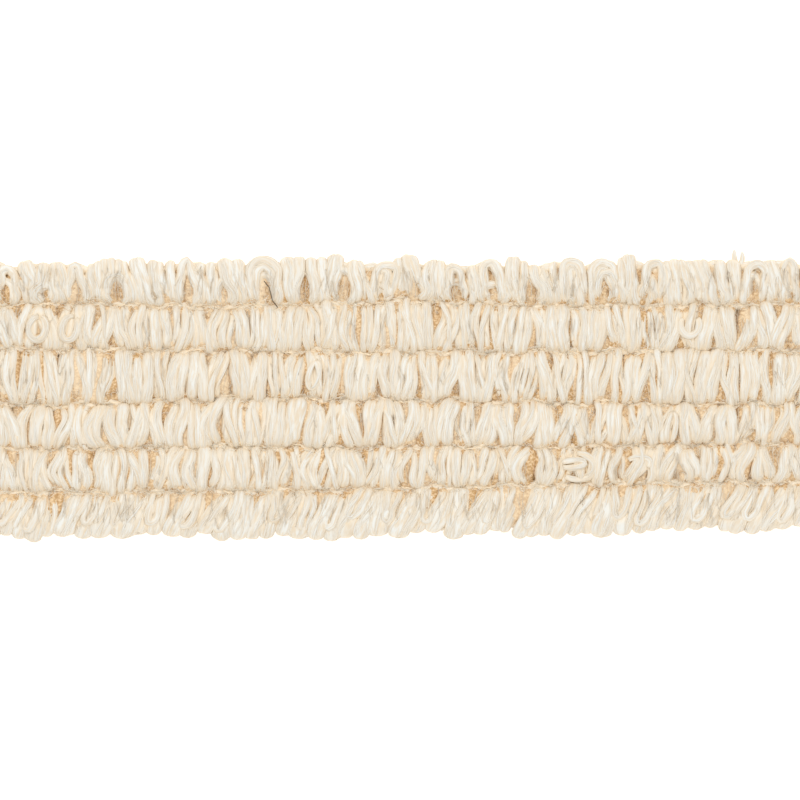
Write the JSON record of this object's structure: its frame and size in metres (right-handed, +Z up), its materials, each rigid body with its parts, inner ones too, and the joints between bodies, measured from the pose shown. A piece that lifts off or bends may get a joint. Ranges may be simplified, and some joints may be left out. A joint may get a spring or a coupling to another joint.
{
  "type": "jute tape trim",
  "caption": "Cut length of a flat jute tape trim: lengthwise rows of soft looped yarn on a thin ground tape, with a binding thread in each groove.",
  "frame": {"origin": "middle of the tape's flat underside", "axes": "+X along the tape, +Y across it towards the edge with the open loops, +Z up from the back to the looped face"},
  "size_m": [0.25, 0.0771, 0.0082],
  "materials": {
    "loops": "soft ivory jute yarn, low twist, a little silky, with fine loose fibres",
    "ground": "plain woven tan jute tape",
    "thread": "fuzzy fine tan stitching thread"
  },
  "bodies": {
    "root": {"ground_tape": "ground", "loop_row_1": "loops", "loop_row_2": "loops", "loop_row_3": "loops", "loop_row_4": "loops", "loop_row_5": "loops", "loop_row_6": "loops", "binding_thread_1": "thread", "binding_thread_2": "thread", "binding_thread_3": "thread", "binding_thread_4": "thread", "binding_thread_5": "thread"}
  },
  "joints": []
}
